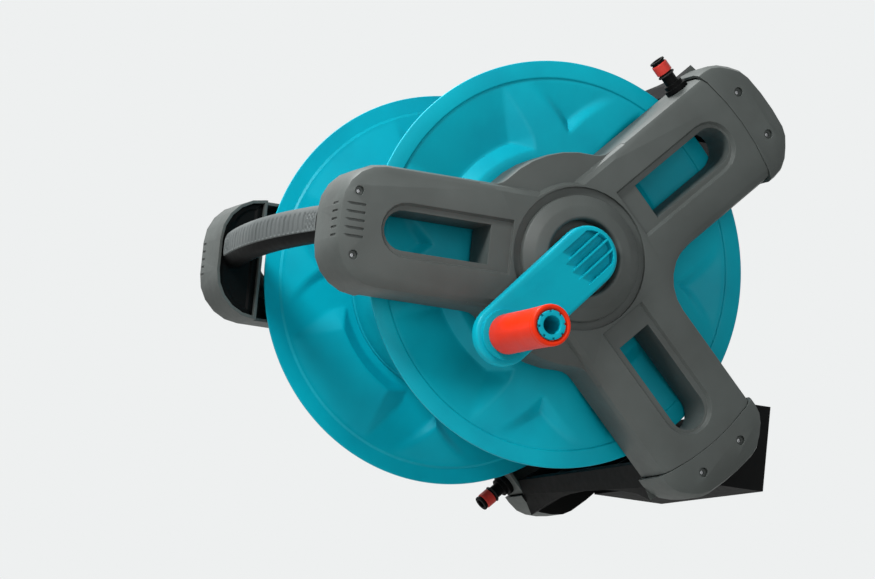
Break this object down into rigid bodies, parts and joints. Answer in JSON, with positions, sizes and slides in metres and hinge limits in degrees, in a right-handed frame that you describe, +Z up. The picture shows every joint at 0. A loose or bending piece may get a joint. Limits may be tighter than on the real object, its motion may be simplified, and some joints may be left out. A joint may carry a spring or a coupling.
{
  "type": "wall mounted hose reel",
  "caption": "Hose reel for a wall: a drum with embossed flanges turned by a side crank in a three-armed frame that lifts off a wall bracket.",
  "frame": {"origin": "centre of the wall bracket's back face, on the wall", "axes": "X along the drum axis with +X on the crank side, +Y into the wall, +Z up"},
  "size_m": [0.566, 0.517, 0.4322],
  "materials": {
    "teal_plastic": "moulded turquoise plastic, satin",
    "dark_plastic": "fine grained dark grey plastic",
    "black_plastic": "plain black plastic",
    "soft_grip": "soft ribbed grip moulding",
    "orange_plastic": "orange red plastic",
    "red_plastic": "red plastic",
    "seal_rubber": "rubber",
    "steel": "bright screw steel",
    "bush_plastic": "pale bearing plastic"
  },
  "bodies": {
    "bracket": {"wall_bracket": "black_plastic"},
    "frame": {"right_frame": "dark_plastic", "left_frame": "dark_plastic", "upper_crossbeam": "dark_plastic", "lower_crossbeam": "dark_plastic", "handle_core": "black_plastic", "handle_skin": "soft_grip", "right_hub_cover": "dark_plastic", "left_hub_cover": "dark_plastic", "right_hub_bush": "bush_plastic", "left_hub_bush": "bush_plastic", "upper_nipple": "black_plastic", "lower_nipple": "black_plastic", "upper_nipple_ring": "red_plastic", "lower_nipple_ring": "red_plastic", "upper_nipple_seal": "seal_rubber", "lower_nipple_seal": "seal_rubber", "inlet_elbow": "black_plastic", "inlet_ring": "red_plastic", "inlet_seal": "seal_rubber", "axle_seal": "seal_rubber", "screw_right_front_1": "steel", "screw_right_front_2": "steel", "screw_right_upper_1": "steel", "screw_right_upper_2": "steel", "screw_right_lower_1": "steel", "screw_right_lower_2": "steel", "screw_left_front_1": "steel", "screw_left_front_2": "steel", "screw_left_upper_1": "steel", "screw_left_upper_2": "steel", "screw_left_lower_1": "steel", "screw_left_lower_2": "steel"},
    "drum": {"drum_core": "teal_plastic", "right_flange": "teal_plastic", "left_flange": "teal_plastic", "axle_tube": "black_plastic", "hose_nipple": "black_plastic", "crank_arm": "teal_plastic", "crank_peg": "teal_plastic"},
    "grip": {"grip_sleeve": "orange_plastic"}
  },
  "joints": [
    {"name": "reel_lift", "type": "slide", "parent": "bracket", "child": "frame", "axis": [0, 0, 1], "range_m": [0, 0.06]},
    {"name": "drum_spin", "type": "hinge", "parent": "frame", "child": "drum", "pos_m": [0, -0.255, 0.1475], "axis": [1, 0, 0], "continuous": true},
    {"name": "grip_spin", "type": "hinge", "parent": "drum", "child": "grip", "pos_m": [0.27, -0.33509, 0.05948], "axis": [1, 0, 0], "continuous": true}
  ]
}
